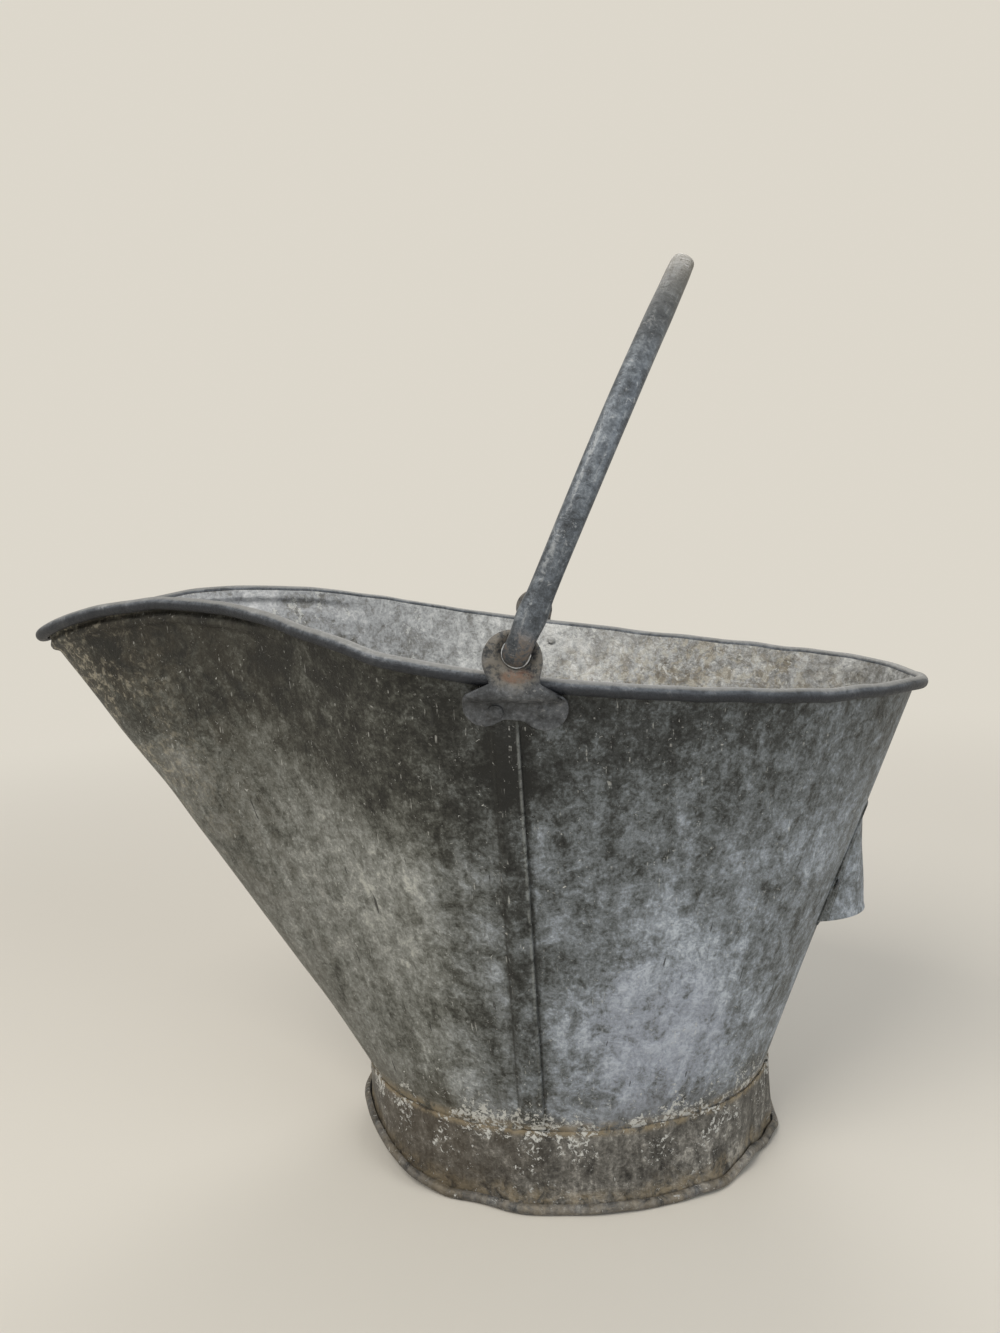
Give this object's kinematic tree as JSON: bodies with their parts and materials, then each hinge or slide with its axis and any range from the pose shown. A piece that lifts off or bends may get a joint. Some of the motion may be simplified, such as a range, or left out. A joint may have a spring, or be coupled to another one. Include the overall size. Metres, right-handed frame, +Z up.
{
  "type": "galvanised coal scuttle bucket",
  "caption": "Weathered galvanised sheet bucket with a broad pouring spout, a swinging bail handle, a low foot ring and a finger grip at the back.",
  "frame": {"origin": "middle of the foot on the floor it stands on", "axes": "+Z up, -X towards the spout's tip, +X towards the finger grip, Y along the bail's axis"},
  "size_m": [0.4998, 0.3252, 0.4799],
  "materials": {
    "body_zinc": "dull galvanised sheet, mottled zinc patina with dark stains and dust",
    "foot_zinc": "dull galvanised sheet, dark and dusty with pale oxide specks",
    "ear_zinc": "dull galvanised strip, scuffed, with a little rust at the hole",
    "wire_steel": "plain steel wire, dull",
    "rivet_steel": "soft steel rivets, zinc dulled",
    "bail_steel": "dull blue-grey steel, rubbed, with pale dust at the top"
  },
  "bodies": {
    "bucket": {"front_sheet": "body_zinc", "back_sheet": "body_zinc", "rim_wire": "wire_steel", "base_plate": "body_zinc", "foot_ring": "foot_zinc", "foot_wire": "wire_steel", "near_ear": "ear_zinc", "far_ear": "ear_zinc", "near_front_rivet": "rivet_steel", "near_back_rivet": "rivet_steel", "far_front_rivet": "rivet_steel", "far_back_rivet": "rivet_steel", "rear_grip": "body_zinc", "grip_near_rivet": "rivet_steel", "grip_far_rivet": "rivet_steel", "grip_top_rivet": "rivet_steel"},
    "bail": {"bail": "bail_steel"}
  },
  "joints": [
    {"name": "bail_swing", "type": "hinge", "parent": "bucket", "child": "bail", "pos_m": [-0.014, 0, 0.29201], "axis": [0, 1, 0], "range_deg": [-105, 72]}
  ]
}
